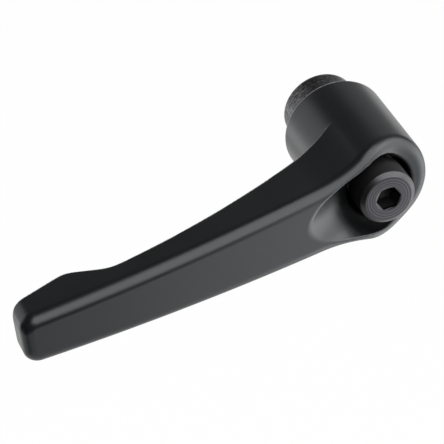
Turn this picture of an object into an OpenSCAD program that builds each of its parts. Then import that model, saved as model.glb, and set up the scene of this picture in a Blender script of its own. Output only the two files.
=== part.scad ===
// Adjustable clamping lever with a female thread.
// A die-cast lever turns on a steel threaded insert through two rings of teeth.
// A shoulder screw and a compression spring hold the lever down on the insert;
// lifting the lever against the spring frees the teeth so that it can be re-set.
// Origin: centre of the insert's bottom face. +Z runs up the hub axis to the
// screw head and +X runs along the arm. All sizes are millimetres.

/* [Lever arm] */
// Distance from the hub axis to the tip of the arm
arm_length = 67.5; // [62:0.1:76]
// Half width of the arm where it leaves the hub flare
arm_half_root = 6.3; // [5.4:0.1:7]
// Half width of the arm at its tip
arm_half_tip = 4.65; // [4:0.05:5.5]
// Height of the arm's top line carried back to the hub axis
top_hub_z = 30.45; // [29.5:0.05:31.5]
// Height of the arm's top line at the tip
top_tip_z = 40.4; // [36:0.1:44]
// Upward bow of the top line at mid length
top_bow = 1.5; // [0:0.1:3]
// Fillet between the top face and the sides
edge_r = 2.1; // [1:0.1:2.4]
// Edge round along the underside
under_r = 0.4; // [0.2:0.1:0.9]
// Corner round of the tip, seen from above
tip_corner_r = 2.8; // [1.5:0.1:3.6]
// Height of the underside at the neck, 22 mm from the hub axis
neck_z = 25.75; // [25:0.05:26.75]
// Distance of the finger lip from the hub axis
lip_x = 56.9; // [52:0.1:57.5]
// Height of the finger lip's lowest line
lip_z = 30.6; // [30.2:0.1:32.6]

/* [Hub] */
// Radius of the hub barrel
hub_r = 9.3; // [9:0.1:11]
// Height of the hub's lower rim above the insert's bottom face
rim_z = 6.9; // [5.5:0.1:7.6]
// Height of the floor round the screw
floor_z = 27.4; // [27:0.1:27.8]
// Radius of the blend from the hub to the sides of the arm
flare_r = 25; // [15:1:40]
// Radius of the counterbore round the screw head
counterbore_r = 5.75; // [5.5:0.05:6]
// Reach of the scooped hollow along the arm
scoop_reach = 15; // [13.5:0.1:16]

/* [Insert] */
// Radius of the threaded insert
insert_r = 6.7; // [6.55:0.05:6.8]
// Overall height of the threaded insert
insert_h = 15.2; // [14.8:0.1:15.6]
// Core radius of the M8 thread
thread_core_r = 3.32; // [2.5:0.01:4]
// Depth of the M8 thread
thread_depth = 9.5; // [8:0.1:10]
// Number of locking teeth
teeth = 24; // [12:12:36]
// Outer radius of the teeth on the insert
tooth_tip_r = 6.3; // [6.1:0.05:6.35]
// Radial depth of the teeth
tooth_depth = 0.75; // [0.5:0.05:0.8]

/* [Screw and spring] */
// Radius of the screw head
head_r = 5; // [4.6:0.05:5.1]
// Height of the screw head
head_h = 6; // [5.5:0.1:6.4]
// Height of the head's top above the floor round the screw
head_stand = 4.4; // [4.2:0.1:4.6]
// Distance across the flats of the socket
socket_af = 4; // [3:0.5:5]
// Depth of the socket
socket_depth = 3.4; // [2.4:0.1:3.6]
// Radius of the plain shank
shank_r = 3; // [2.6:0.05:3.1]
// Core radius of the screw's threaded end
end_r = 2.05; // [1.6:0.05:2.2]
// Wire radius of the spring
wire_r = 0.4; // [0.3:0.05:0.45]
// Mean coil radius of the spring
coil_r = 4.65; // [4.2:0.05:4.75]
// Number of coils
coils = 4.5; // [4:0.5:5]

/* [Fits] */
// Height that the lever lifts to free its teeth
lift = 4; // [3.6:0.1:4]
// Radial gap between the insert and the lever's bore
bore_clear = 0.2; // [0.1:0.05:0.25]
// Radial gap between the two rings of teeth
tooth_clear = 0.2; // [0.15:0.05:0.25]
// Gap under the web when the lever is down
seat_clear = 0.1; // [0.05:0.05:0.15]
// Radial gap round the screw's shank and threaded end
pin_clear = 0.05; // [0.03:0.01:0.1]
// Gap at each end of the spring
spring_clear = 0.05; // [0.03:0.01:0.1]

/* [Hidden] */
e = 0.01;
web_z = insert_h + seat_clear;
web_h = 0.3 * insert_r;
web_top = web_z + web_h;
head_top = floor_z + head_stand;
head_z = head_top - head_h;
head_chamfer = 0.6;
head_chamfer_w = 0.8;
socket_mouth = 0.15;
collar_chamfer = 0.15;
mouth = 0.4;
shell_r = hub_r + 0.03;
rim_r = 0.7;
barrel_top = floor_z - 0.42 * hub_r;
above_all = top_tip_z;
tooth_length = lift;
screw_end_z = thread_depth + 0.3 * end_r;
lower_tooth_z = insert_h - tooth_length;
lever_tooth_z = web_z - tooth_length + 0.3;
blend = 1.6;

// Soft minimum and maximum: two lines meet in a rounded corner
function smin(a, b, k = blend) = -ln(exp(-k * a) + exp(-k * b)) / k;
function smax(a, b, k = blend) = ln(exp(k * a) + exp(k * b)) / k;

// Quarter-round fall of size r that ends at the limit x = end
function end_round(x, end, r) = x <= end - r ? 0 : r - sqrt(max(0, r * r - pow(x - end + r, 2)));

// Straight taper of the arm in plan, and the tangent arc that flares it into the hub
function taper(x) = arm_half_root + (arm_half_tip - arm_half_root) * (x - 14) / (arm_length - 15.5);
flare_y = taper(13) + flare_r;
flare_x = sqrt(pow(shell_r + flare_r, 2) - flare_y * flare_y);
flare_start = flare_x * shell_r / (shell_r + flare_r);
flare_end = flare_x - flare_r * (arm_half_root - arm_half_tip) / (arm_length - 15.5);
function half_width(x) =
    x < flare_start ? sqrt(max(0.04, shell_r * shell_r - x * x)) :
    x < flare_end ? flare_y - sqrt(flare_r * flare_r - pow(x - flare_x, 2)) :
    taper(x) - end_round(x, arm_length, tip_corner_r);

// Top line: a bowed arm that drops to the floor's level behind the screw
function arm_line(x) = let (u = x / arm_length)
    top_hub_z + (top_tip_z - top_hub_z) * u + 4 * top_bow * u * (1 - u);
function top_line(x) = smin(arm_line(x), smax(floor_z + 0.1, floor_z + 2.3 + 0.55 * x), 2.2);
function top_z(x) = top_line(x) - end_round(x, arm_length, edge_r);

// Underside: gusset to the barrel, arched neck, finger lip, sloping nose
function gusset_line(x) = smax(neck_z - 11.25 + 0.59 * x, neck_z - 10.35 + 0.5 * x, 6);
function neck_line(x) = smin(neck_z + 0.383 * (x - 22) - 0.0039 * pow(x - 22, 2), gusset_line(x), 4);
function lip_line(x) = smax(lip_z - 0.4 * (x - lip_x), lip_z + 0.36 * (x - lip_x), 2.2);
function under_line(x) = smin(neck_line(min(x, lip_x)), lip_line(x), 2.4);
function under_z(x) =
    x < 0.5 ? 21 : x < 2 ? under_line(2) + (2 - x) * (21 - under_line(2)) / 1.5 :
    under_line(x) + 1.5 * end_round(x, arm_length, 1.4);

// Cross-section of the lever at x, as points run round from the right-hand underside
top_steps = 8;
under_steps = 3;
function arc_points(x, y, z, r, from, to, n) =
    [for (i = [0:n]) let (a = from + (to - from) * i / n) [x, y + r * cos(a), z + r * sin(a)]];
// Half of the top fillet: behind the hub axis it runs round the barrel, ahead of it along the side
crown = 0.4;
function fillet_end(x) = let (d = sqrt(x * x + crown * crown))
    x > 0 || d < shell_r - edge_r ? 90 : acos((d - shell_r + edge_r) / edge_r);
function fillet_points(x, side) = let (zt = top_z(x), h = half_width(x), last = fillet_end(x))
    [for (i = [0:top_steps]) let (
            a = last * (side > 0 ? i : top_steps - i) / top_steps,
            d = edge_r * (1 - cos(a)),
            y = x < 0 ? sqrt(pow(shell_r - d, 2) - x * x) : h - d)
        [x, side * y, zt - edge_r + edge_r * sin(a)]];
function section(x) = let (h = half_width(x), zb = under_z(x), rb = min(under_r, 0.3 * h))
    concat(
        arc_points(x, h - rb, zb + rb, rb, -90, 0, under_steps),
        fillet_points(x, 1),
        fillet_points(x, -1),
        arc_points(x, -h + rb, zb + rb, rb, 180, 270, under_steps));
ring = 2 * (top_steps + 1) + 2 * (under_steps + 1);
hub_steps = 20;
arm_steps = 44;
tip_steps = 8;
hub_stop = flare_start;
stations = concat(
    [for (i = [0:hub_steps - 1]) -shell_r * cos(5 + (180 - 5 - acos(hub_stop / shell_r)) * i / hub_steps)],
    [for (i = [0:arm_steps - 1]) hub_stop + (arm_length - tip_corner_r - hub_stop) * i / arm_steps],
    [for (i = [0:tip_steps]) arm_length - tip_corner_r + (tip_corner_r - 0.02) * sin(90 * i / tip_steps)]);

// Outer skin of the arm and of the hub's top as one closed surface
module arm_skin() {
    last = len(stations) - 1;
    polyhedron(
        points = [for (x = stations) each section(x)],
        faces = concat(
            [[for (j = [0:ring - 1]) j]],
            [[for (j = [0:ring - 1]) last * ring + ring - 1 - j]],
            [for (i = [0:last - 1], j = [0:ring - 1]) let (k = (j + 1) % ring)
                each [[i * ring + j, (i + 1) * ring + j, (i + 1) * ring + k],
                      [i * ring + j, (i + 1) * ring + k, i * ring + k]]]));
}

// Ring of straight-sided teeth
module tooth_ring(tip, root) {
    polygon([for (i = [0:2 * teeth - 1]) let (r = i % 2 == 0 ? tip : root, a = 180 * i / teeth)
        [r * cos(a), r * sin(a)]]);
}

// The groove's lowest line rises from the floor and leaves the top face at the scoop's reach
groove_r = 7;
groove_rise = 35;
groove_x = scoop_reach - 7.94 - groove_r * sin(groove_rise);
groove_z = arm_line(scoop_reach) - 5.56 + groove_r * cos(groove_rise);
// Hollow round the screw: a dish about the hub axis and a rising groove towards the arm
module scoop() {
    rotate_extrude($fn = 96) difference() {
        translate([0, floor_z]) square([7.5, 12]);
        difference() {
            translate([5.8, floor_z - e]) square([1.8, 1.8]);
            translate([5.7, floor_z + 1.8]) circle(r = 1.8, $fn = 48);
        }
    }
    translate([groove_x, 0, groove_z]) rotate([0, 90 - groove_rise, 0]) rotate_extrude($fn = 96) {
        square([groove_r, above_all]);
        intersection() {
            circle(r = groove_r, $fn = 96);
            translate([0, -groove_r]) square([groove_r, groove_r + 1]);
        }
    }
}

module lever() {
    color([0.1, 0.1, 0.11]) difference() {
        union() {
            rotate_extrude($fn = 96) difference() {
                translate([0, rim_z]) square([hub_r, barrel_top - rim_z]);
                difference() {
                    translate([hub_r - rim_r, rim_z - e]) square([rim_r + 0.1, rim_r + e]);
                    translate([hub_r - rim_r, rim_z + rim_r]) circle(r = rim_r, $fn = 32);
                }
            }
            arm_skin();
        }
        union() {
            scoop();
            translate([0, 0, web_top]) cylinder(r = counterbore_r, h = above_all, $fn = 96);
        }
        translate([0, 0, web_z - e]) cylinder(r = shank_r + 0.25, h = web_h + 2 * e, $fn = 64);
        translate([0, 0, rim_z - 1]) cylinder(r = insert_r + bore_clear, h = lever_tooth_z - rim_z + 1, $fn = 96);
        translate([0, 0, lever_tooth_z - e]) linear_extrude(web_z - lever_tooth_z + e)
            tooth_ring(tooth_tip_r + tooth_clear, tooth_tip_r - tooth_depth + tooth_clear);
    }
}

module threaded_insert() {
    color([0.2, 0.2, 0.21]) difference() {
        union() {
            rotate_extrude($fn = 96) polygon([
                [0, 0], [insert_r - collar_chamfer, 0], [insert_r, collar_chamfer], [insert_r, lower_tooth_z - 0.7],
                [insert_r - 0.5, lower_tooth_z - 0.2], [tooth_tip_r - tooth_depth, lower_tooth_z - 0.2],
                [tooth_tip_r - tooth_depth, insert_h - 1], [0, insert_h - 1]]);
            intersection() {
                translate([0, 0, lower_tooth_z - 0.2 - e]) linear_extrude(tooth_length + 0.2 + e)
                    tooth_ring(tooth_tip_r, tooth_tip_r - tooth_depth);
                translate([0, 0, lower_tooth_z - tooth_depth]) cylinder(r1 = 2 * tooth_tip_r, r2 = tooth_tip_r - 0.4, h = tooth_length + tooth_depth, $fn = 96);
            }
        }
        translate([0, 0, -e]) cylinder(r1 = thread_core_r + mouth + e, r2 = thread_core_r, h = mouth + e, $fn = 64);
        translate([0, 0, mouth - e]) cylinder(r = thread_core_r, h = thread_depth - mouth + e, $fn = 64);
        translate([0, 0, thread_depth - e]) cylinder(r1 = thread_core_r, r2 = end_r, h = thread_core_r - end_r, $fn = 64);
        translate([0, 0, thread_depth]) cylinder(r = end_r + pin_clear, h = insert_h, $fn = 64);
    }
}

module retaining_screw() {
    color([0.26, 0.26, 0.28]) difference() {
        rotate_extrude($fn = 96) polygon([
            [0, screw_end_z], [end_r - mouth, screw_end_z], [end_r, screw_end_z + mouth],
            [end_r, insert_h], [shank_r - 0.2, insert_h], [shank_r, insert_h + 0.2],
            [shank_r, head_z], [head_r - 0.15, head_z], [head_r, head_z + 0.15],
            [head_r, head_top - head_chamfer], [head_r - head_chamfer_w, head_top], [0, head_top]]);
        translate([0, 0, head_top - socket_depth]) cylinder(d = socket_af / cos(30), h = socket_depth + e, $fn = 6);
        translate([0, 0, head_top - socket_mouth]) cylinder(r1 = socket_af / 2, r2 = socket_af / 2 + socket_mouth + e, h = socket_mouth + e, $fn = 48);
        translate([0, 0, head_top - socket_depth - 0.8]) cylinder(r1 = 0.01, r2 = socket_af / 2 - 0.1, h = 0.8 + e, $fn = 48);
    }
}

// Closed and ground compression spring: a round wire carried along a helix
spring_low = web_top + spring_clear + wire_r;
spring_high = head_z - spring_clear - wire_r;
wire_sides = 10;
coil_steps = 24;
turns = coils * coil_steps;
function climb(u) = let (closed = 1 / coils, rise = 2.12 * wire_r, w = (u - closed) / (1 - 2 * closed))
    u < closed ? spring_low + rise * u / closed :
    u > 1 - closed ? spring_high - rise * (1 - u) / closed :
    spring_low + rise + (spring_high - spring_low - 2 * rise) * w;
module return_spring() {
    color([0.55, 0.56, 0.58]) polyhedron(
        points = [for (i = [0:turns], j = [0:wire_sides - 1]) let (
                a = 360 * i / coil_steps, b = 360 * j / wire_sides, r = coil_r + wire_r * cos(b))
            [r * cos(a), r * sin(a), climb(i / turns) + wire_r * sin(b)]],
        faces = concat(
            [[for (j = [0:wire_sides - 1]) j]],
            [[for (j = [0:wire_sides - 1]) turns * wire_sides + wire_sides - 1 - j]],
            [for (i = [0:turns - 1], j = [0:wire_sides - 1]) let (k = (j + 1) % wire_sides)
                each [[i * wire_sides + j, (i + 1) * wire_sides + j, (i + 1) * wire_sides + k],
                      [i * wire_sides + j, (i + 1) * wire_sides + k, i * wire_sides + k]]]));
}

lever();
threaded_insert();
retaining_screw();
return_spring();
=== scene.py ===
"""Looks of an adjustable clamping lever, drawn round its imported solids.

The casting is one smooth skin, the zero level of a field of distances. The insert and
the screw are profiles carried round the hub axis, and the spring is a wire carried
along its coil. Lengths of the object are millimetres in the formulas and metres in
the meshes. Floor and lamps are placed in metres.
"""

import math

import bpy
import numpy as np
from mathutils import Matrix, Quaternion, Vector


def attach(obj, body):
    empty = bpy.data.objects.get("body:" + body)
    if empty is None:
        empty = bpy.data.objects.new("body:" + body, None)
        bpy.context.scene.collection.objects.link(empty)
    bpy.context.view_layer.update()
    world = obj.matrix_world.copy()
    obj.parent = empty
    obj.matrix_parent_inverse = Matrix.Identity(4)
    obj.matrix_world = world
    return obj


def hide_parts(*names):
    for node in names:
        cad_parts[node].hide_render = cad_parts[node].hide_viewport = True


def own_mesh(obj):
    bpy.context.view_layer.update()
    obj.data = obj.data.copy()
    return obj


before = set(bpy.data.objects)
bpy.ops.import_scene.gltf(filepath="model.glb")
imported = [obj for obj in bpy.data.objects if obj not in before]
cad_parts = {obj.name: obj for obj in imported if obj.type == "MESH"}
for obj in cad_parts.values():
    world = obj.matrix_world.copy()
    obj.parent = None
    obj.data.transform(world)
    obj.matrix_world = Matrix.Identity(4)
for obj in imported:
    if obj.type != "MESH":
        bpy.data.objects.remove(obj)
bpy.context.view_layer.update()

MM = 0.001

# Lever arm
ARM_LENGTH = 67.58
ARM_HALF_ROOT = 6.3
ARM_HALF_TIP = 4.65
TAPER_START_X = 14.0
TAPER_END_X = ARM_LENGTH - 1.5
TAPER = (ARM_HALF_TIP - ARM_HALF_ROOT) / (TAPER_END_X - TAPER_START_X)
TOP_HUB_Z = 30.45
TOP_TIP_Z = 40.38
TOP_BOW = 1.5
EDGE_R = 2.1
UNDER_R = 0.4
TIP_CORNER_R = 2.8
NOSE_R = 1.3
NECK_X = 22.0
NECK_Z = 25.75
NECK_SLOPE = 0.383
NECK_ARCH = 0.0039
LIP_X = 56.9
LIP_Z = 30.6
LIP_SLOPE = 0.4
NOSE_SLOPE = 0.36

# Grid of the casting's skin
SKIN_CELL = 0.3
SKIN_MARGIN = 0.5
SKIN_MARGIN_Y = 0.47

# Hub
HUB_R = 9.297
RIM_Z = 6.9
RIM_R = 0.7
FLOOR_Z = 27.4
BACK_EDGE_Z = FLOOR_Z + 0.1
BACK_RISE_Z = FLOOR_Z + 2.3
BACK_SLOPE = 0.55
FLARE_R = 25.0
GUSSET_R = 0.8
GUSSET_OUTER_Z = NECK_Z - 11.55
GUSSET_OUTER_SLOPE = 0.59
GUSSET_INNER_Z = NECK_Z - 10.65
GUSSET_INNER_SLOPE = 0.5
GUSSET_EDGE_R = 0.8
GUSSET_EDGE_END_X = 17.0
GUSSET_EDGE_FADE = 6.0
COUNTERBORE_R = 5.75
COUNTERBORE_EDGE_R = 0.5
BOWL_R = 7.3
BOWL_Z = 27.03
BOWL_CORNER_R = 3.0
SCOOP_BLEND_R = 0.8
GROOVE_R = 7.0
GROOVE_RISE = math.radians(35)
GROOVE_X = 3.05
GROOVE_Z = 33.86
SCOOP_EDGE_R = 0.25
BORE_EDGE_R = 0.2

# Insert, screw and spring
INSERT_R = 6.7
INSERT_H = 15.2
THREAD_CORE_R = 3.32
THREAD_ROOT_R = 4.0
THREAD_PITCH = 1.25
THREAD_DEPTH = 9.5
THREAD_TOP_Z = THREAD_DEPTH - 0.1
THREAD_FADE_Z = THREAD_DEPTH - 0.3
THREAD_FLAT = 0.1
THREAD_LEAD = 0.15
TEETH = 24
TOOTH_TIP_R = 6.3
TOOTH_DEPTH = 0.75
TOOTH_LEAD_R = 0.4
TOOTH_LEAD_H = 0.3
LIFT = 4.0
BORE_CLEAR = 0.2
TOOTH_CLEAR = 0.2
WEB_Z = 15.3
WEB_TOP = 17.31
LOWER_TOOTH_Z = INSERT_H - LIFT
LEVER_TOOTH_Z = WEB_Z - LIFT + 0.3
HEAD_R = 5.0
HEAD_TOP = 31.8
HEAD_Z = 25.8
HEAD_CHAMFER = 0.6
HEAD_CHAMFER_WIDTH = 0.8
HEAD_UNDER_CHAMFER = 0.15
SOCKET_AF = 4.0
SOCKET_DEPTH = 3.4
SOCKET_MOUTH = 0.15
DRILL_POINT = 0.8
COLLAR_CHAMFER = 0.15
COLLAR_FACE_R = 4.4
SHOULDER_Z = LOWER_TOOTH_Z - 0.2
SHOULDER_CHAMFER = 0.5
SHANK_R = 3.0
SHANK_CLEAR = 0.25
SHANK_CHAMFER = 0.2
SCREW_END_R = 2.05
SCREW_END_Z = 10.12
SCREW_END_CHAMFER = 0.4
SCREW_HOLE_R = 2.1
INSERT_END_WIDTH = 1.2
WIRE_R = 0.4
COIL_R = 4.65
COILS = 4.5
CLOSED_COIL_RISE = 2.12 * WIRE_R
SPRING_CLEAR = 0.05

# Photograph's camera
CAMERA_PLACE = (135.79, -293.21, 420.59)
CAMERA_RIGHT = (-0.93168, 0.11907, 0.3432)
CAMERA_UP = (-0.29279, -0.80537, -0.51541)
CAMERA_FORWARD = (-0.21504, 0.58068, -0.78522)
FOCAL_PIXELS = 3000.0
IMAGE_PIXELS = 444.0
SENSOR_MM = 36.0

# Point that the lamps face
LEVER_MIDDLE = (0.028, 0, 0.028)

# Lamps: name, direction from that point, distance, width, height, radiance, roll in degrees
LAMPS = (
    ("overhead_softbox", (-0.48, -0.69, 0.54), 0.6, 0.74, 0.9, 3.1, -20),
    ("right_card", (-0.95, -0.02, 0.1), 0.5, 0.7, 0.36, 2.2, 0),
    ("right_front_card", (-0.62, 0.5, 0.6), 0.45, 0.3, 0.3, 0.8, 0),
    ("scoop_card", (-0.8, 0.0, 0.6), 0.5, 0.35, 0.35, 1.7, 0),
    ("groove_card", (-0.64, 0.74, 0.15), 0.4, 0.22, 0.22, 1.9, 0),
    ("left_back_card", (0.62, -0.12, -0.77), 0.6, 0.6, 0.6, 1.0, 0),
    ("right_back_card", (-0.62, -0.2, -0.76), 0.6, 0.45, 0.4, 0.32, 0),
    ("back_card", (-0.15, 0.02, -0.99), 0.6, 0.4, 0.3, 1.1, 0),
)


def soft_min(a, b, sharpness):
    """Lower of two lines, with the corner where they cross rounded off."""
    return -np.logaddexp(-sharpness * a, -sharpness * b) / sharpness


def soft_max(a, b, sharpness):
    """Higher of two lines, with the corner where they cross rounded off."""
    return np.logaddexp(sharpness * a, sharpness * b) / sharpness


def overlap(a, b, radius):
    """Distance outside the part that two solids share; their edge is rounded to radius.

    Within radius of both faces the two depths add as the sides of a right triangle.
    """
    past_a = np.maximum(a + radius, 0)
    past_b = np.maximum(b + radius, 0)
    return np.minimum(np.maximum(a, b), -radius) + np.hypot(past_a, past_b)


def joined(a, b, radius):
    """Distance outside two solids taken together; their inner corner gets a fillet."""
    return -overlap(-a, -b, radius)


def arm_line(x):
    """Height of the arm's top: a straight rise plus a parabola for the bow."""
    share = x / ARM_LENGTH
    return TOP_HUB_Z + (TOP_TIP_Z - TOP_HUB_Z) * share + 4 * TOP_BOW * share * (1 - share)


def top_line(x):
    """The arm's top line, brought down to the floor's level behind the screw."""
    behind_screw = soft_max(np.full_like(x, BACK_EDGE_Z), BACK_RISE_Z + BACK_SLOPE * x, sharpness=1.6)
    return soft_min(arm_line(x), behind_screw, sharpness=2.2)


def under_line(x):
    """Height of the underside: gusset, arched neck, finger lip and sloping nose."""
    short_x = np.minimum(x, LIP_X)
    neck_x = short_x - NECK_X
    gusset = soft_max(
        GUSSET_OUTER_Z + GUSSET_OUTER_SLOPE * short_x,
        GUSSET_INNER_Z + GUSSET_INNER_SLOPE * short_x, sharpness=6.0)
    arch = NECK_Z + NECK_SLOPE * neck_x - NECK_ARCH * neck_x ** 2
    neck = soft_min(arch, gusset, sharpness=4.0)
    past_lip = x - LIP_X
    lip = soft_max(LIP_Z - LIP_SLOPE * past_lip, LIP_Z + NOSE_SLOPE * past_lip, sharpness=2.2)
    return soft_min(neck, lip, sharpness=2.4)


def above(line, x, z):
    """Distance of a point above a line, measured square to the line's slope."""
    step = 0.01
    slope = (line(x + step) - line(x - step)) / (2 * step)
    return (z - line(x)) / np.sqrt(1 + slope ** 2)


def flare_centre():
    """Centre of the arc that touches both the hub circle and the arm's straight side."""
    reach = HUB_R + FLARE_R
    rise = ARM_HALF_ROOT - TAPER * TAPER_START_X + FLARE_R * math.hypot(1, TAPER)
    square = 1 + TAPER ** 2
    root = math.sqrt((rise * TAPER) ** 2 - square * (rise ** 2 - reach ** 2))
    x = (-rise * TAPER + root) / square
    return x, rise + TAPER * x


FLARE_X, FLARE_Y = flare_centre()


def plan_edge(x, y):
    """Distance outside the outline seen from above: hub circle, flare arc, straight taper."""
    side = np.abs(y)
    hub = np.hypot(x, side) - HUB_R
    flare = FLARE_R - np.hypot(x - FLARE_X, side - FLARE_Y)
    half_width = ARM_HALF_ROOT + TAPER * (x - TAPER_START_X)
    straight = (side - half_width) / math.hypot(1, TAPER)
    past_flare = (x - FLARE_X) + TAPER * (side - FLARE_Y) > 0
    on_hub = x * FLARE_Y < side * FLARE_X
    return np.where(on_hub, hub, np.where(past_flare, straight, flare))


def tooth_wave(turn):
    """Straight-sided wave from 0 in a gap to 1 on a tooth, one for each tooth of a turn."""
    share = np.mod(turn * TEETH, 1.0)
    return np.abs(1 - 2 * share)


def scoop_field(x, y, z):
    """Distance outside the hollow round the screw: a bowl about the hub axis, joined to a
    round groove whose axis climbs along the arm and which ends in half a ball."""
    bowl = overlap(np.hypot(x, y) - BOWL_R, BOWL_Z - z, BOWL_CORNER_R)
    along = (x - GROOVE_X) * math.cos(GROOVE_RISE) + (z - GROOVE_Z) * math.sin(GROOVE_RISE)
    along = np.maximum(along, 0)
    off_x = x - GROOVE_X - along * math.cos(GROOVE_RISE)
    off_z = z - GROOVE_Z - along * math.sin(GROOVE_RISE)
    groove = np.sqrt(off_x ** 2 + y ** 2 + off_z ** 2) - GROOVE_R
    return joined(bowl, groove, SCOOP_BLEND_R)


def casting_field(x, y, z):
    """Distance outside the die-cast lever.

    Outline, top line and underside overlap to give the arm, and the hub barrel joins it.
    The gusset's lower edge is rounded more than the arm's. The hollow round the screw, the
    counterbore, the web's hole, the insert's bore and a ring of teeth are then taken away.
    """
    radius = np.hypot(x, y)
    turn = np.arctan2(y, x) / (2 * math.pi)
    top = above(top_line, x, z)
    under = -above(under_line, x, z)
    barrel = radius - HUB_R
    tip = x - ARM_LENGTH
    outline = overlap(plan_edge(x, y), tip, TIP_CORNER_R)
    crown = overlap(outline, top, EDGE_R)
    gusset_share = np.clip((GUSSET_EDGE_END_X - x) / GUSSET_EDGE_FADE, 0, 1)
    edge_r = UNDER_R + (GUSSET_EDGE_R - UNDER_R) * gusset_share
    arm = overlap(crown, joined(under, barrel, GUSSET_R), edge_r)
    arm = overlap(arm, overlap(tip, under, NOSE_R), UNDER_R)
    body = np.minimum(arm, overlap(barrel, top, EDGE_R))
    body = overlap(body, RIM_Z - z, RIM_R)
    body = overlap(body, -scoop_field(x, y, z), SCOOP_EDGE_R)

    counterbore = np.maximum(radius - COUNTERBORE_R, WEB_TOP - z)
    body = overlap(body, -counterbore, COUNTERBORE_EDGE_R)
    tooth_root = TOOTH_TIP_R - TOOTH_DEPTH + TOOTH_CLEAR
    teeth = np.maximum(radius - tooth_root - TOOTH_DEPTH * tooth_wave(turn), z - WEB_Z)
    bore = np.maximum(radius - INSERT_R - BORE_CLEAR, z - LEVER_TOOTH_Z)
    hole = radius - SHANK_R - SHANK_CLEAR
    cavity = np.minimum(np.minimum(teeth, bore), hole)
    return overlap(body, -cavity, BORE_EDGE_R)


def field_slope(field, points, step):
    """Slope of a field at points, from the difference across step along each axis."""
    shifts = np.eye(3) * step
    rises = [field(*(points + s).T) - field(*(points - s).T) for s in shifts]
    return np.stack(rises, axis=1) / (2 * step)


def field_surface(field, low, high, cell):
    """Skin of a field's zero level, as points, quads and normals.

    Each cell of a grid that the zero level crosses gets one point, the mean of the
    crossings on the cell's edges, which is then moved down the field's slope onto the
    level. Each grid edge that the level crosses joins the points of its four cells.
    Normals are slopes across a wider step, which softens the finest edges.
    """
    slope_step = 0.01
    normal_step = 0.04
    axes = [np.arange(a, b + cell, cell) for a, b in zip(low, high)]
    value = field(axes[0][:, None, None], axes[1][None, :, None], axes[2][None, None, :])
    inside = value < 0
    cells = tuple(n - 1 for n in value.shape)
    corners = [(i, j, k) for i in (0, 1) for j in (0, 1) for k in (0, 1)]
    count = sum(
        inside[i : i + cells[0], j : j + cells[1], k : k + cells[2]].astype(np.int8)
        for i, j, k in corners
    )
    place = np.stack(np.nonzero((count > 0) & (count < 8)), axis=1)
    number = np.full(cells, -1)
    number[tuple(place.T)] = np.arange(len(place))

    total = np.zeros((len(place), 3))
    hits = np.zeros(len(place))
    for axis in range(3):
        for corner in corners:
            if corner[axis] == 1:
                continue
            near = place + corner
            far = near + np.eye(3, dtype=int)[axis]
            a = value[tuple(near.T)]
            b = value[tuple(far.T)]
            crossed = (a < 0) != (b < 0)
            share = np.where(crossed, a / np.where(crossed, a - b, 1), 0)
            point = near.astype(float)
            point[:, axis] += share
            total += point * crossed[:, None]
            hits += crossed
    points = total / hits[:, None] * cell + np.array([a[0] for a in axes])

    quads = []
    for axis in range(3):
        first = (axis + 1) % 3
        second = (axis + 2) % 3
        start = [slice(None)] * 3
        stop = [slice(None)] * 3
        start[axis] = slice(None, -1)
        stop[axis] = slice(1, None)
        crossed = inside[tuple(start)] != inside[tuple(stop)]
        edge = np.stack(np.nonzero(crossed), axis=1)
        within = np.all(edge[:, [first, second]] > 0, axis=1)
        within &= edge[:, first] < cells[first]
        within &= edge[:, second] < cells[second]
        edge = edge[within]
        ring = []
        for back_first, back_second in ((1, 1), (0, 1), (0, 0), (1, 0)):
            cell_place = edge.copy()
            cell_place[:, first] -= back_first
            cell_place[:, second] -= back_second
            ring.append(number[tuple(cell_place.T)])
        quad = np.stack(ring, axis=1)
        leaving = inside[tuple(edge.T)]
        quads.append(np.where(leaving[:, None], quad, quad[:, ::-1]))

    for _ in range(5):
        slope = field_slope(field, points, slope_step)
        size = np.maximum((slope ** 2).sum(axis=1), 0.1)
        move = slope * (field(*points.T) / size)[:, None]
        points -= np.clip(move, -cell, cell)
    normals = field_slope(field, points, normal_step)
    normals /= np.maximum(np.linalg.norm(normals, axis=1), 1e-9)[:, None]
    return points, np.concatenate(quads), normals


def new_piece(name, points, faces):
    """Object of one mesh at the origin, from points in millimetres."""
    mesh = bpy.data.meshes.new(name)
    mesh.from_pydata((points * MM).tolist(), [], faces)
    mesh.polygons.foreach_set("use_smooth", np.ones(len(mesh.polygons), dtype=bool))
    mesh.validate()
    mesh.update()
    piece = bpy.data.objects.new(name, mesh)
    bpy.context.scene.collection.objects.link(piece)
    return piece


def soft_corners(corners, reach, steps):
    """Profile whose corners are bent: each corner becomes a parabola that starts and
    ends reach away from it on its two sides."""
    corners = np.asarray(corners, float)
    back = corners[:-2] - corners[1:-1]
    ahead = corners[2:] - corners[1:-1]
    length = np.minimum(np.linalg.norm(back, axis=1), np.linalg.norm(ahead, axis=1))
    pull = np.minimum(reach, 0.4 * length)[:, None]
    start = corners[1:-1] + back / np.linalg.norm(back, axis=1)[:, None] * pull
    stop = corners[1:-1] + ahead / np.linalg.norm(ahead, axis=1)[:, None] * pull
    t = np.linspace(0, 1, steps)[None, :, None]
    middle = corners[1:-1, None]
    bend = (1 - t) ** 2 * start[:, None] + 2 * t * (1 - t) * middle + t ** 2 * stop[:, None]
    return np.concatenate([corners[:1], bend.reshape(-1, 2), corners[-1:]])


def turned_points(radius, height, turn):
    """Points at radius and height, rows of a profile, carried round the axis by turn."""
    angle = 2 * math.pi * turn
    shape = np.broadcast_shapes(radius.shape, height.shape, turn.shape)
    points = np.empty(shape + (3,))
    points[..., 0] = radius * np.cos(angle)
    points[..., 1] = radius * np.sin(angle)
    points[..., 2] = height
    return points.reshape(-1, 3)


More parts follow.
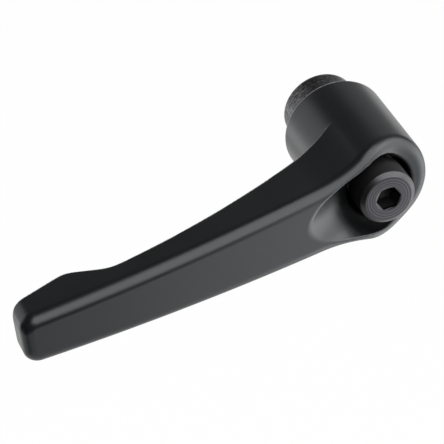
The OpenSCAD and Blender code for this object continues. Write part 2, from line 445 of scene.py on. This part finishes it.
def wrapped_quads(rows, columns, close_rows):
    """Quads of a grid whose columns close on themselves, and its rows too if asked."""
    last = rows if close_rows else rows - 1
    row, column = np.meshgrid(np.arange(last), np.arange(columns), indexing="ij")
    next_row = (row + 1) % rows
    next_column = (column + 1) % columns
    quad = [
        row * columns + column,
        row * columns + next_column,
        next_row * columns + next_column,
        next_row * columns + column,
    ]
    return np.stack(quad, axis=-1).reshape(-1, 4)


def fan(centre, first, columns, outward):
    """Triangles from a centre point to a ring that starts at first."""
    column = np.arange(columns)
    here = first + column
    following = first + (column + 1) % columns
    middle = np.full(columns, centre)
    order = (middle, here, following) if outward else (middle, following, here)
    return np.stack(order, axis=1)


def sharpen(piece, degrees):
    """Keeps corners steeper than degrees sharp, and lets large faces rule the shading."""
    piece.data.set_sharp_from_angle(angle=math.radians(degrees))
    weighted = piece.modifiers.new("weighted_normal", "WEIGHTED_NORMAL")
    weighted.keep_sharp = True


def make_casting():
    """The die-cast lever: the zero level of casting_field."""
    low = (-HUB_R - SKIN_MARGIN, -HUB_R - SKIN_MARGIN_Y, RIM_Z - SKIN_MARGIN)
    high = (ARM_LENGTH + SKIN_MARGIN, HUB_R + SKIN_MARGIN, TOP_TIP_Z + SKIN_MARGIN)
    points, quads, normals = field_surface(casting_field, low, high, SKIN_CELL)
    piece = new_piece("lever_casting", points, quads.tolist())
    piece.data.normals_split_custom_set_from_vertices(normals.tolist())
    return piece


COLUMNS = 192
TURN = np.arange(COLUMNS)[None, :] / COLUMNS
THREAD_ROWS = 96
SHARP_DEGREES = 40


def make_insert():
    """The turned insert: one closed profile carried round the axis. Its upper rows
    follow a wave of teeth and its lower hole follows a screw thread, a wave that moves
    one pitch along the axis for each turn."""
    tooth_root = TOOTH_TIP_R - TOOTH_DEPTH
    collar = soft_corners(
        [(COLLAR_FACE_R, 0), (INSERT_R - COLLAR_CHAMFER, 0), (INSERT_R, COLLAR_CHAMFER),
         (INSERT_R, SHOULDER_Z - SHOULDER_CHAMFER), (INSERT_R - SHOULDER_CHAMFER, SHOULDER_Z),
         (tooth_root, SHOULDER_Z)], reach=0.08, steps=4)
    collar_r = np.repeat(collar[:, :1], COLUMNS, axis=1)
    collar_z = collar[:, 1:]

    tooth = tooth_root + TOOTH_DEPTH * tooth_wave(TURN)
    tooth_z = np.array([SHOULDER_Z, INSERT_H - TOOTH_LEAD_H, INSERT_H])[:, None]
    tooth_limit = np.array([TOOTH_TIP_R, TOOTH_TIP_R, TOOTH_TIP_R - TOOTH_LEAD_R])[:, None]
    tooth_r = np.minimum(np.repeat(tooth, 3, axis=0), tooth_limit)

    cone_z = THREAD_DEPTH + THREAD_CORE_R - SCREW_HOLE_R
    hole = soft_corners(
        [(SCREW_HOLE_R + INSERT_END_WIDTH, INSERT_H), (SCREW_HOLE_R, INSERT_H), (SCREW_HOLE_R, cone_z),
         (THREAD_CORE_R, THREAD_DEPTH), (THREAD_CORE_R, THREAD_TOP_Z)], reach=0.08, steps=4)
    hole_r = np.repeat(hole[:, :1], COLUMNS, axis=1)
    hole_z = hole[:, 1:]

    thread_z = np.linspace(THREAD_TOP_Z, 0, THREAD_ROWS)[:, None]
    wave = np.abs(1 - 2 * np.mod(thread_z / THREAD_PITCH - TURN, 1.0))
    flank = np.clip((wave - THREAD_FLAT) / (1 - 2 * THREAD_FLAT), 0, 1)
    run_out = np.clip((THREAD_FADE_Z - thread_z) / THREAD_PITCH, 0, 1)
    thread_r = THREAD_CORE_R + (THREAD_ROOT_R - THREAD_CORE_R) * flank * run_out
    thread_r = np.maximum(thread_r, THREAD_ROOT_R + THREAD_LEAD - thread_z)

    radius = np.concatenate([collar_r, tooth_r, hole_r, thread_r])
    height = np.concatenate([collar_z, tooth_z, hole_z, thread_z])
    quads = wrapped_quads(len(radius), COLUMNS, True)
    piece = new_piece("insert_turned", turned_points(radius, height, TURN), quads.tolist())
    sharpen(piece, SHARP_DEGREES)
    return piece


def make_screw():
    """The shoulder screw: a profile from the bottom of the socket out over the head and
    down to the end. The socket's rows follow a hexagon in place of a circle."""
    half_flat = 1 / 12
    sixth = np.mod(TURN + half_flat, 2 * half_flat) - half_flat
    hexagon = SOCKET_AF / 2 / np.cos(2 * math.pi * (np.abs(sixth) - half_flat))
    floor_z = HEAD_TOP - SOCKET_DEPTH
    mouth_r = SOCKET_AF / 2 / math.cos(math.pi / 6) + 0.02
    rim_z = HEAD_TOP - SOCKET_MOUTH * (mouth_r - hexagon) / (mouth_r - SOCKET_AF / 2)
    drill_r = SOCKET_AF / 2 - 0.1
    whole = np.ones_like(hexagon)
    socket_r = np.concatenate(
        [0.5 * drill_r * whole, drill_r * whole, hexagon, hexagon, mouth_r * whole])
    socket_z = np.concatenate(
        [(floor_z - 0.5 * DRILL_POINT) * whole, floor_z * whole, floor_z * whole, rim_z,
         HEAD_TOP * whole])

    outside = soft_corners(
        [(mouth_r + 0.05, HEAD_TOP), (HEAD_R - HEAD_CHAMFER_WIDTH, HEAD_TOP),
         (HEAD_R, HEAD_TOP - HEAD_CHAMFER), (HEAD_R, HEAD_Z + HEAD_UNDER_CHAMFER),
         (HEAD_R - HEAD_UNDER_CHAMFER, HEAD_Z), (SHANK_R, HEAD_Z),
         (SHANK_R, INSERT_H + SHANK_CHAMFER), (SHANK_R - SHANK_CHAMFER, INSERT_H),
         (SCREW_END_R, INSERT_H), (SCREW_END_R, SCREW_END_Z + SCREW_END_CHAMFER),
         (SCREW_END_R - SCREW_END_CHAMFER, SCREW_END_Z)], reach=0.12, steps=5)
    outside_r = np.repeat(outside[:, :1], COLUMNS, axis=1)
    outside_z = np.repeat(outside[:, 1:], COLUMNS, axis=1)
    radius = np.concatenate([socket_r, outside_r])
    height = np.concatenate([socket_z, outside_z])
    points = turned_points(radius, height, TURN)
    ends = np.array([(0, 0, floor_z - DRILL_POINT), (0, 0, SCREW_END_Z)])
    rows = len(radius)
    quads = wrapped_quads(rows, COLUMNS, False)[:, ::-1]
    socket_fan = fan(len(points), 0, COLUMNS, True)
    end_fan = fan(len(points) + 1, (rows - 1) * COLUMNS, COLUMNS, False)
    faces = quads.tolist() + socket_fan.tolist() + end_fan.tolist()
    piece = new_piece("screw_turned", np.concatenate([points, ends]), faces)
    sharpen(piece, SHARP_DEGREES)
    return piece


def make_spring():
    """The return spring: a circle of wire carried along a helix whose end coils lie
    closed, with an even climb between them."""
    steps = 306
    sides = 24
    low = WEB_TOP + SPRING_CLEAR + WIRE_R
    high = HEAD_Z - SPRING_CLEAR - WIRE_R
    share = np.linspace(0, 1, steps)[:, None]
    closed = 1 / COILS
    knots = [0, closed, 1 - closed, 1]
    climb = np.interp(share, knots, [low, low + CLOSED_COIL_RISE, high - CLOSED_COIL_RISE, high])
    around = 2 * math.pi * np.arange(sides)[None, :] / sides
    radius = COIL_R + WIRE_R * np.cos(around) + 0 * share
    points = turned_points(radius, climb + WIRE_R * np.sin(around), COILS * share)
    ends = points.reshape(steps, sides, 3)[[0, -1]].mean(axis=1)
    quads = wrapped_quads(steps, sides, False)
    first_cap = fan(len(points), 0, sides, False)
    last_cap = fan(len(points) + 1, (steps - 1) * sides, sides, True)
    faces = quads.tolist() + first_cap.tolist() + last_cap.tolist()
    piece = new_piece("spring_wire", np.concatenate([points, ends]), faces)
    sharpen(piece, 60)
    return piece


def link(tree, source, output, target, socket):
    """Joins an output of one node to an input of another."""
    tree.links.new(source.outputs[output], target.inputs[socket])


def new_group(name, inputs, outputs):
    """Empty shader group with float inputs and outputs, and its two end nodes."""
    group = bpy.data.node_groups.new(name, "ShaderNodeTree")
    for label, default in inputs:
        socket = group.interface.new_socket(label, in_out="INPUT", socket_type="NodeSocketFloat")
        socket.default_value = default
    for label in outputs:
        group.interface.new_socket(label, in_out="OUTPUT", socket_type="NodeSocketFloat")
    return group, group.nodes.new("NodeGroupInput"), group.nodes.new("NodeGroupOutput")


def make_grain_group():
    """Grain of a sprayed or blackened surface: a coarse and a fine noise on Object
    coordinates. Grain is their mix from 0 to 1, Cloud is a slow drift from 0 to 1."""
    group, ends_in, ends_out = new_group(
        "surface_grain", [("Fine Scale", 2400.0), ("Coarse Scale", 700.0), ("Cloud Scale", 90.0)],
        ["Grain", "Cloud"])
    place = group.nodes.new("ShaderNodeTexCoord")
    noises = []
    for label, detail in (("Fine Scale", 2.0), ("Coarse Scale", 1.0), ("Cloud Scale", 3.0)):
        noise = group.nodes.new("ShaderNodeTexNoise")
        noise.inputs["Detail"].default_value = detail
        link(group, place, "Object", noise, "Vector")
        link(group, ends_in, label, noise, "Scale")
        noises.append(noise)
    mixed = group.nodes.new("ShaderNodeMix")
    mixed.inputs["Factor"].default_value = 0.45
    link(group, noises[0], "Fac", mixed, "A")
    link(group, noises[1], "Fac", mixed, "B")
    link(group, mixed, "Result", ends_out, "Grain")
    link(group, noises[2], "Fac", ends_out, "Cloud")
    return group


def make_turning_group():
    """Tool marks of a turned piece: noise along one line, which is the distance from the
    hub axis on flat ends and the height on round sides. Marks runs from 0 to 1."""
    group, ends_in, ends_out = new_group(
        "turning_marks", [("Scale", 6000.0), ("Height Share", 0.0)], ["Marks", "Radius", "Height"])
    place = group.nodes.new("ShaderNodeTexCoord")
    parts = group.nodes.new("ShaderNodeSeparateXYZ")
    link(group, place, "Object", parts, "Vector")
    flat = group.nodes.new("ShaderNodeCombineXYZ")
    link(group, parts, "X", flat, "X")
    link(group, parts, "Y", flat, "Y")
    radius = group.nodes.new("ShaderNodeVectorMath")
    radius.operation = "LENGTH"
    link(group, flat, "Vector", radius, 0)
    chosen = group.nodes.new("ShaderNodeMix")
    link(group, ends_in, "Height Share", chosen, "Factor")
    link(group, radius, "Value", chosen, "A")
    link(group, parts, "Z", chosen, "B")
    marks = group.nodes.new("ShaderNodeTexNoise")
    marks.noise_dimensions = "1D"
    marks.inputs["Detail"].default_value = 2.0
    link(group, chosen, "Result", marks, "W")
    link(group, ends_in, "Scale", marks, "Scale")
    link(group, marks, "Fac", ends_out, "Marks")
    link(group, radius, "Value", ends_out, "Radius")
    link(group, parts, "Z", ends_out, "Height")
    return group


GRAIN = make_grain_group()
TURNING = make_turning_group()


def new_material(name):
    """Material with its Principled shader, and the tree that holds it."""
    material = bpy.data.materials.new(name)
    material.use_nodes = True
    tree = material.node_tree
    shader = next(n for n in tree.nodes if n.type == "BSDF_PRINCIPLED")
    return material, tree, shader


def place_group(tree, group, **values):
    """Node of a shared group, with its inputs set by name."""
    node = tree.nodes.new("ShaderNodeGroup")
    node.node_tree = group
    for label, value in values.items():
        node.inputs[label.replace("_", " ")].default_value = value
    return node


def spread(tree, source, output, low, high, from_low=0.3, from_high=0.7):
    """Map of a value's range onto another range, without going past its ends."""
    node = tree.nodes.new("ShaderNodeMapRange")
    node.inputs["From Min"].default_value = from_low
    node.inputs["From Max"].default_value = from_high
    node.inputs["To Min"].default_value = low
    node.inputs["To Max"].default_value = high
    link(tree, source, output, node, "Value")
    return node


def combined(tree, operation, first, second):
    """Math node of two values, each the output of another node or a plain number."""
    node = tree.nodes.new("ShaderNodeMath")
    node.operation = operation
    for socket, value in zip(node.inputs, (first, second)):
        if isinstance(value, float):
            socket.default_value = value
        else:
            tree.links.new(value, socket)
    return node


def mixed_colours(tree, source, output, first, second):
    """Colour that runs from first to second as a value runs from 0 to 1. Each of the two
    is a plain colour or the output of another node."""
    node = tree.nodes.new("ShaderNodeMix")
    node.data_type = "RGBA"
    ends = [s for s in node.inputs if s.name in ("A", "B") and s.type == "RGBA"]
    for socket, colour in zip(ends, (first, second)):
        if isinstance(colour, tuple):
            socket.default_value = (*colour, 1)
        else:
            tree.links.new(colour, socket)
    factor = [s for s in node.inputs if s.name == "Factor" and s.type == "VALUE"][0]
    tree.links.new(source.outputs[output], factor)
    return [s for s in node.outputs if s.type == "RGBA"][0]


def mixed_shaders(tree, factor, first, second):
    """Shader that runs from first to second as factor runs from 0 to 1."""
    node = tree.nodes.new("ShaderNodeMixShader")
    for socket, source in zip(node.inputs, (factor, first, second)):
        tree.links.new(source, socket)
    return node


def add_bump(tree, shader, source, output, height_mm, strength=1.0):
    """Relief of that height that feeds the shader's normal."""
    bump = tree.nodes.new("ShaderNodeBump")
    bump.inputs["Distance"].default_value = height_mm * MM
    bump.inputs["Strength"].default_value = strength
    link(tree, source, output, bump, "Height")
    link(tree, bump, "Normal", shader, "Normal")


def powder_coat():
    """Semi-gloss black powder coat: near-black with a cool cast, a fine orange-peel
    relief and a slow drift in gloss."""
    material, tree, shader = new_material("black_powder_coat")
    grain = place_group(tree, GRAIN, Fine_Scale=2600.0, Coarse_Scale=800.0, Cloud_Scale=70.0)
    shader.inputs["IOR"].default_value = 1.5
    shader.inputs["Specular Tint"].default_value = (0.93, 0.97, 1.0, 1)
    colour = mixed_colours(tree, grain, "Grain", (0.003, 0.0031, 0.0035), (0.0066, 0.0067, 0.0074))
    tree.links.new(colour, shader.inputs["Base Color"])
    gloss = spread(tree, grain, "Cloud", 0.29, 0.35)
    link(tree, gloss, "Result", shader, "Roughness")
    add_bump(tree, shader, grain, "Grain", 0.006, 0.5)
    return material


def blackened_insert():
    """Turned and blackened steel of the insert: dark metal whose tone and gloss follow the
    tool marks and a coarse speckle of the finish."""
    material, tree, shader = new_material("blackened_insert")
    shader.inputs["Metallic"].default_value = 1.0
    turning = place_group(tree, TURNING, Scale=3200.0, Height_Share=1.0)
    grain = place_group(tree, GRAIN, Fine_Scale=3600.0, Coarse_Scale=1500.0, Cloud_Scale=300.0)
    lines = spread(tree, turning, "Marks", 0.1, 1.0)
    speckle = spread(tree, grain, "Grain", 0.2, 1.0, 0.4, 0.6)
    worn = combined(tree, "MULTIPLY", lines.outputs["Result"], speckle.outputs["Result"])
    colour = mixed_colours(tree, worn, "Value", (0.008, 0.008, 0.009), (0.225, 0.225, 0.233))
    tree.links.new(colour, shader.inputs["Base Color"])
    gloss = spread(tree, turning, "Marks", 0.3, 0.46)
    link(tree, gloss, "Result", shader, "Roughness")
    add_bump(tree, shader, turning, "Marks", 0.012, 0.5)
    return material


def blackened_screw():
    """Turned and blackened steel of the screw: faint rings on the head's face, and a rougher side. The
    socket, and everything below the head's face, get painted shade: colour mixed toward near black in
    place of the shade in the socket and in the counterbore round the head."""
    material, tree, shader = new_material("blackened_screw")
    shader.inputs["Metallic"].default_value = 1.0
    turning = place_group(tree, TURNING, Scale=4200.0, Height_Share=0.0)
    rings = mixed_colours(
        tree, spread(tree, turning, "Marks", 0.0, 1.0), "Result",
        (0.046, 0.045, 0.05), (0.117, 0.114, 0.124))
    # Painted shade: the socket is mixed fully toward near black, and the head's chamfer, side,
    # underside and shank three quarters of the way, standing in for the shade of the socket and the
    # counterbore.
    socket_edge_r = (2.36 * MM, 2.44 * MM)
    socket_edge_z = ((HEAD_TOP - 0.2) * MM, (HEAD_TOP - 0.1) * MM)
    face_edge_z = ((HEAD_TOP - 0.12) * MM, (HEAD_TOP - 0.04) * MM)
    side_edge_z = ((HEAD_TOP - HEAD_CHAMFER - 0.15) * MM, (HEAD_TOP - HEAD_CHAMFER) * MM)
    narrow = spread(tree, turning, "Radius", 1.0, 0.0, *socket_edge_r)
    sunk = spread(tree, turning, "Height", 1.0, 0.0, *socket_edge_z)
    socket_painted_shade = combined(tree, "MULTIPLY", narrow.outputs["Result"], sunk.outputs["Result"])
    side_painted_shade = spread(tree, turning, "Height", 0.75, 0.0, *face_edge_z)
    # Painted shade of the socket and of the head below its face, taken together.
    painted_shade = combined(tree, "MAXIMUM", socket_painted_shade.outputs["Value"], side_painted_shade.outputs["Result"])
    colour = mixed_colours(tree, painted_shade, "Value", rings, (0.05, 0.05, 0.05))
    tree.links.new(colour, shader.inputs["Base Color"])
    face = spread(tree, turning, "Marks", 0.28, 0.4)
    side = spread(tree, turning, "Height", 0.3, 0.0, *side_edge_z)
    gloss = combined(tree, "ADD", face.outputs["Result"], side.outputs["Result"])
    link(tree, gloss, "Value", shader, "Roughness")
    add_bump(tree, shader, turning, "Marks", 0.012, 0.5)
    return material


def spring_steel():
    """Drawn and oiled spring wire: dark steel with a fine grain."""
    material, tree, shader = new_material("drawn_spring_wire")
    shader.inputs["Metallic"].default_value = 1.0
    grain = place_group(tree, GRAIN, Fine_Scale=3500.0, Coarse_Scale=1200.0, Cloud_Scale=200.0)
    colour = mixed_colours(tree, grain, "Grain", (0.06, 0.06, 0.063), (0.12, 0.12, 0.125))
    tree.links.new(colour, shader.inputs["Base Color"])
    gloss = spread(tree, grain, "Cloud", 0.24, 0.36)
    link(tree, gloss, "Result", shader, "Roughness")
    return material


def dress(piece, material, body, node):
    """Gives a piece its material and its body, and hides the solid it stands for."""
    piece.data.materials.append(material)
    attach(piece, body)
    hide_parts(node)


lever_casting = make_casting()
insert_turned = make_insert()
screw_turned = make_screw()
spring_wire = make_spring()

dress(lever_casting, powder_coat(), "lever", "lever")
dress(insert_turned, blackened_insert(), "base", "threaded_insert")
dress(screw_turned, blackened_screw(), "base", "retaining_screw")
dress(spring_wire, spring_steel(), "spring", "return_spring")
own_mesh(spring_wire)


def make_camera():
    """Camera where the photograph was taken from, with the photograph's roll."""
    data = bpy.data.cameras.new("photo_camera")
    data.sensor_width = SENSOR_MM
    data.lens = FOCAL_PIXELS * SENSOR_MM / IMAGE_PIXELS
    data.clip_start = 0.01
    data.clip_end = 20.0
    data.shift_x = -0.5 / IMAGE_PIXELS
    data.shift_y = 0.5 / IMAGE_PIXELS
    camera = bpy.data.objects.new("photo_camera", data)
    back = -np.array(CAMERA_FORWARD)
    turned = np.eye(4)
    turned[:3, 0] = CAMERA_RIGHT
    turned[:3, 1] = CAMERA_UP
    turned[:3, 2] = back
    turned[:3, 3] = np.array(CAMERA_PLACE) * MM
    camera.matrix_world = Matrix(turned.tolist())
    bpy.context.scene.collection.objects.link(camera)
    bpy.context.scene.camera = camera


def floor_white():
    """Matt white that the camera, mirrors and clear pieces see evenly lit. From behind it
    is clear, so that the floor never hides the object."""
    white_share = 0.985
    material = bpy.data.materials.new("pale_floor")
    material.use_nodes = True
    tree = material.node_tree
    tree.nodes.clear()
    path = tree.nodes.new("ShaderNodeLightPath")
    seen = combined(tree, "MAXIMUM", path.outputs["Is Camera Ray"], path.outputs["Is Glossy Ray"])
    seen = combined(tree, "MAXIMUM", seen.outputs["Value"], path.outputs["Is Transmission Ray"])
    share = combined(tree, "MULTIPLY", seen.outputs["Value"], white_share)
    matt = tree.nodes.new("ShaderNodeBsdfDiffuse")
    matt.inputs["Color"].default_value = (0.9, 0.9, 0.9, 1)
    white = tree.nodes.new("ShaderNodeEmission")
    front = mixed_shaders(tree, share.outputs["Value"], matt.outputs["BSDF"], white.outputs["Emission"])
    clear = tree.nodes.new("ShaderNodeBsdfTransparent")
    geometry = tree.nodes.new("ShaderNodeNewGeometry")
    both = mixed_shaders(
        tree, geometry.outputs["Backfacing"], front.outputs["Shader"], clear.outputs["BSDF"])
    out = tree.nodes.new("ShaderNodeOutputMaterial")
    link(tree, both, "Shader", out, "Surface")
    return material


def make_floor():
    """Pale floor on the side that the lever lies on in the photograph, clear of the
    lever's swing, with one far corner cut away so that the room shows dark in the screw."""
    away = 0.4
    left, right, near, far = -3.0, 2.5, -3.0, 0.78
    cut_right, cut_far = 0.4, 0.3
    mesh = bpy.data.meshes.new("pale_floor")
    mesh.from_pydata(
        [(left, away, near), (right, away, near), (right, away, cut_far),
         (cut_right, away, cut_far), (cut_right, away, far), (left, away, far)],
        [], [(0, 1, 2, 3, 4, 5)])
    mesh.materials.append(floor_white())
    floor = bpy.data.objects.new("pale_floor", mesh)
    bpy.context.scene.collection.objects.link(floor)


def make_softbox(name, direction, distance, width, height, radiance, roll):
    """Rectangular lamp that faces the lever from a direction, rolled by degrees about its
    own axis. Radiance is its brightness as seen in a mirror, so its power is radiance
    times pi times its area."""
    data = bpy.data.lights.new(name, "AREA")
    data.shape = "RECTANGLE"
    data.size = width
    data.size_y = height
    data.energy = radiance * math.pi * width * height
    lamp = bpy.data.objects.new(name, data)
    towards = Vector(direction).normalized()
    lamp.location = Vector(LEVER_MIDDLE) + towards * distance
    lamp.rotation_mode = "QUATERNION"
    facing = (-towards).to_track_quat("-Z", "Y")
    lamp.rotation_quaternion = facing @ Quaternion((0, 0, 1), math.radians(roll))
    lamp.visible_camera = False
    bpy.context.scene.collection.objects.link(lamp)


def make_world():
    """Dim room for light and reflections; the camera sees it white."""
    world = bpy.data.worlds.new("studio_room")
    world.use_nodes = True
    bpy.context.scene.world = world
    tree = world.node_tree
    tree.nodes.clear()
    room = tree.nodes.new("ShaderNodeBackground")
    room.inputs["Color"].default_value = (0.1, 0.101, 0.104, 1)
    white = tree.nodes.new("ShaderNodeBackground")
    white.inputs["Color"].default_value = (1, 1, 1, 1)
    path = tree.nodes.new("ShaderNodeLightPath")
    chosen = mixed_shaders(
        tree, path.outputs["Is Camera Ray"], room.outputs["Background"], white.outputs["Background"])
    out = tree.nodes.new("ShaderNodeOutputWorld")
    link(tree, chosen, "Shader", out, "Surface")


make_camera()
make_floor()
make_world()
for lamp_values in LAMPS:
    make_softbox(*lamp_values)

bpy.context.scene.view_settings.view_transform = "Standard"
